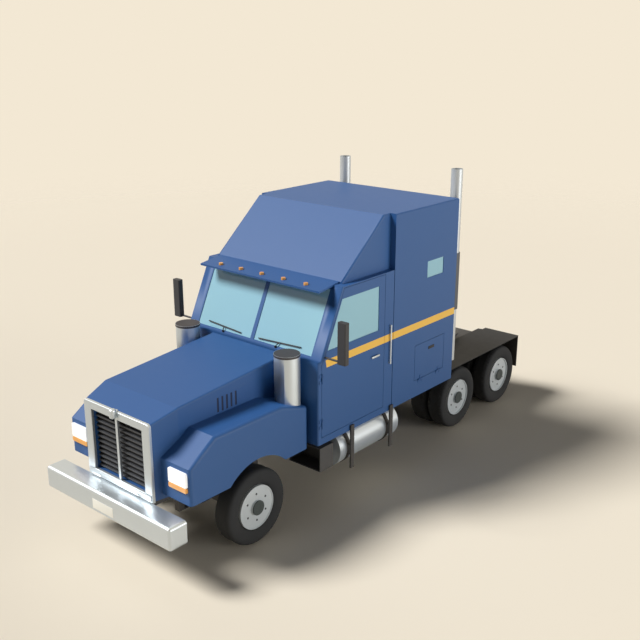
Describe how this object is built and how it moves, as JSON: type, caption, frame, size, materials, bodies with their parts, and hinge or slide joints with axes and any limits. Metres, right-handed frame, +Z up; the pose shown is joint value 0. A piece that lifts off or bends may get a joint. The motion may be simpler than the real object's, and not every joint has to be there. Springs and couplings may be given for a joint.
{
  "type": "semi truck tractor unit",
  "caption": "Conventional three-axle highway tractor with a tilting hood, high sleeper cab, twin exhaust stacks and a fifth wheel coupling.",
  "frame": {"origin": "bottom centre of the truck's bounding box, on the ground", "axes": "+Z up, the front faces -Y, +X is the truck's left"},
  "size_m": [3.24, 8.013, 4.246],
  "materials": {
    "frame_paint": "satin black chassis paint",
    "bright_metal": "polished bright metal",
    "cast_iron": "painted cast iron",
    "radiator_core": "dark finned core",
    "polished_tank": "polished aluminium",
    "step_metal": "satin black with tread pattern",
    "body_paint": "glossy blue body paint",
    "window_glass": "pale blue tinted glass",
    "interior": "dark grey trim",
    "amber_lens": "amber lens",
    "lamp_lens": "clear lens over a bright reflector",
    "mirror_housing": "dark textured housing",
    "grille_paint": "dark grey slats",
    "exhaust_metal": "polished pipe",
    "shield_metal": "dark heat shield",
    "deck_paint": "satin dark grey",
    "flap_rubber": "black rubber sheet",
    "coupling_steel": "dark greased steel",
    "tyre": "black tyre rubber",
    "rim_metal": "satin silver wheel"
  },
  "bodies": {
    "chassis": {"frame_rails": "frame_paint", "crossmembers": "frame_paint", "bumper": "bright_metal", "front_axle": "frame_paint", "front_springs": "frame_paint", "drive_axles": "frame_paint", "suspension_arms": "frame_paint", "engine_block": "cast_iron", "driveline": "cast_iron", "radiator": "radiator_core", "fuel_tanks": "polished_tank", "tank_straps": "frame_paint", "cab_steps": "step_metal", "cab_shell": "body_paint", "cab_glass": "window_glass", "cab_interior": "interior", "sleeper_shell": "body_paint", "roof_fairing": "body_paint", "sun_visor": "body_paint", "marker_lamps": "amber_lens", "exhaust_stacks": "exhaust_metal", "heat_shields": "shield_metal", "rear_fenders": "deck_paint", "mud_flaps": "flap_rubber", "fifth_wheel_base": "frame_paint"},
    "hood": {"hood_shell": "body_paint", "fenders": "body_paint", "grille_surround": "bright_metal", "grille_slats": "grille_paint", "headlamps": "lamp_lens", "turn_lamps": "amber_lens", "air_cleaners": "bright_metal"},
    "left_door": {"door_left": "body_paint", "door_glass_left": "window_glass", "mirror_left": "mirror_housing"},
    "right_door": {"door_right": "body_paint", "door_glass_right": "window_glass", "mirror_right": "mirror_housing"},
    "left_luggage_door": {"luggage_door_left": "body_paint"},
    "right_luggage_door": {"luggage_door_right": "body_paint"},
    "coupling_plate": {"fifth_wheel_plate": "coupling_steel"},
    "left_knuckle": {"knuckle_left": "frame_paint"},
    "right_knuckle": {"knuckle_right": "frame_paint"},
    "steering_rod": {"tie_rod": "frame_paint"},
    "driver_wheel": {"steering_wheel": "interior"},
    "front_wheel_left": {"front_tyre_left": "tyre", "front_rim_left": "rim_metal"},
    "front_wheel_right": {"front_tyre_right": "tyre", "front_rim_right": "rim_metal"},
    "drive_wheel_left": {"drive_tyre_left": "tyre", "drive_rim_left": "rim_metal"},
    "drive_wheel_right": {"drive_tyre_right": "tyre", "drive_rim_right": "rim_metal"},
    "rear_wheel_left": {"rear_tyre_left": "tyre", "rear_rim_left": "rim_metal"},
    "rear_wheel_right": {"rear_tyre_right": "tyre", "rear_rim_right": "rim_metal"}
  },
  "joints": [
    {"name": "hood_tilt", "type": "hinge", "parent": "chassis", "child": "hood", "pos_m": [0, -3.7205, 0.955], "axis": [1, 0, 0], "range_deg": [0, 65]},
    {"name": "left_door_swing", "type": "hinge", "parent": "chassis", "child": "left_door", "pos_m": [1.267, -1.4465, 1.6], "axis": [0, 0, -1], "range_deg": [0, 70]},
    {"name": "right_door_swing", "type": "hinge", "parent": "chassis", "child": "right_door", "pos_m": [-1.267, -1.4465, 1.6], "axis": [0, 0, 1], "range_deg": [0, 70]},
    {"name": "left_luggage_door_drop", "type": "hinge", "parent": "chassis", "child": "left_luggage_door", "pos_m": [1.267, 1.0265, 1.285], "axis": [0, 1, 0], "range_deg": [0, 90]},
    {"name": "right_luggage_door_drop", "type": "hinge", "parent": "chassis", "child": "right_luggage_door", "pos_m": [-1.267, 1.0265, 1.285], "axis": [0, -1, 0], "range_deg": [0, 90]},
    {"name": "coupling_plate_tilt", "type": "hinge", "parent": "chassis", "child": "coupling_plate", "pos_m": [0, 2.9955, 1.11], "axis": [1, 0, 0], "range_deg": [-12, 12]},
    {"name": "left_steer", "type": "hinge", "parent": "chassis", "child": "left_knuckle", "pos_m": [0.88, -2.5105, 0.507], "axis": [0, 0, 1], "range_deg": [-35, 35]},
    {"name": "right_steer", "type": "hinge", "parent": "chassis", "child": "right_knuckle", "pos_m": [-0.88, -2.5105, 0.507], "axis": [0, 0, 1], "range_deg": [-35, 35]},
    {"name": "tie_rod_turn", "type": "hinge", "parent": "left_knuckle", "child": "steering_rod", "pos_m": [0.88, -2.3205, 0.409], "axis": [0, 0, 1], "range_deg": [-35, 35]},
    {"name": "driver_wheel_turn", "type": "hinge", "parent": "chassis", "child": "driver_wheel", "pos_m": [0.56, -1.0805, 2.15], "axis": [0, 0.6428, 0.766], "range_deg": [-630, 630]},
    {"name": "front_wheel_left_roll", "type": "hinge", "parent": "left_knuckle", "child": "front_wheel_left", "pos_m": [0.975, -2.5105, 0.507], "axis": [1, 0, 0], "continuous": true},
    {"name": "front_wheel_right_roll", "type": "hinge", "parent": "right_knuckle", "child": "front_wheel_right", "pos_m": [-0.975, -2.5105, 0.507], "axis": [1, 0, 0], "continuous": true},
    {"name": "drive_wheel_left_roll", "type": "hinge", "parent": "chassis", "child": "drive_wheel_left", "pos_m": [0.81, 2.1455, 0.507], "axis": [1, 0, 0], "continuous": true},
    {"name": "drive_wheel_right_roll", "type": "hinge", "parent": "chassis", "child": "drive_wheel_right", "pos_m": [-0.81, 2.1455, 0.507], "axis": [1, 0, 0], "continuous": true},
    {"name": "rear_wheel_left_roll", "type": "hinge", "parent": "chassis", "child": "rear_wheel_left", "pos_m": [0.81, 3.4655, 0.507], "axis": [1, 0, 0], "continuous": true},
    {"name": "rear_wheel_right_roll", "type": "hinge", "parent": "chassis", "child": "rear_wheel_right", "pos_m": [-0.81, 3.4655, 0.507], "axis": [1, 0, 0], "continuous": true}
  ],
  "couplings": [
    {"joint": "right_steer", "follows": "left_steer", "ratio": 1},
    {"joint": "tie_rod_turn", "follows": "left_steer", "ratio": -1},
    {"joint": "driver_wheel_turn", "follows": "left_steer", "ratio": 18}
  ]
}
